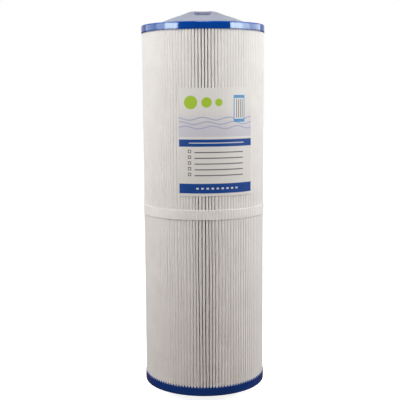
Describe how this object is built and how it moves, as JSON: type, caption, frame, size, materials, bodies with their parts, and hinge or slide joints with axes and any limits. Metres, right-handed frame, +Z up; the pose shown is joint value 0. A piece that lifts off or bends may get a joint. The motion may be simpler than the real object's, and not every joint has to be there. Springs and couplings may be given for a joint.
{
  "type": "filter cartridge",
  "caption": "Tall round pool and spa filter cartridge: white pleated media between cast end caps, with a retaining band, label, cone-shaped top handle and threaded bottom outlet.",
  "frame": {"origin": "centre of the outlet's end face, on the cartridge's axis, where it stands", "axes": "+Z up along the cartridge's axis, towards the cone handle; -Y is the front, which the label faces; +X is to the right seen from the front"},
  "size_m": [0.1254, 0.1254, 0.3971],
  "materials": {
    "end_cap_urethane": "satin",
    "media_polyester": "matte",
    "core_plastic": "satin",
    "cone_plastic": "satin",
    "band_polyester": "matte",
    "label_film": "satin"
  },
  "bodies": {
    "root": {"bottom_end_cap": "end_cap_urethane", "top_end_cap": "end_cap_urethane", "pleated_media": "media_polyester", "core_section_1": "core_plastic", "core_section_2": "core_plastic", "core_section_3": "core_plastic", "core_section_4": "core_plastic", "threaded_outlet": "core_plastic", "cone_handle": "cone_plastic", "retaining_band": "band_polyester", "label": "label_film"}
  },
  "joints": []
}
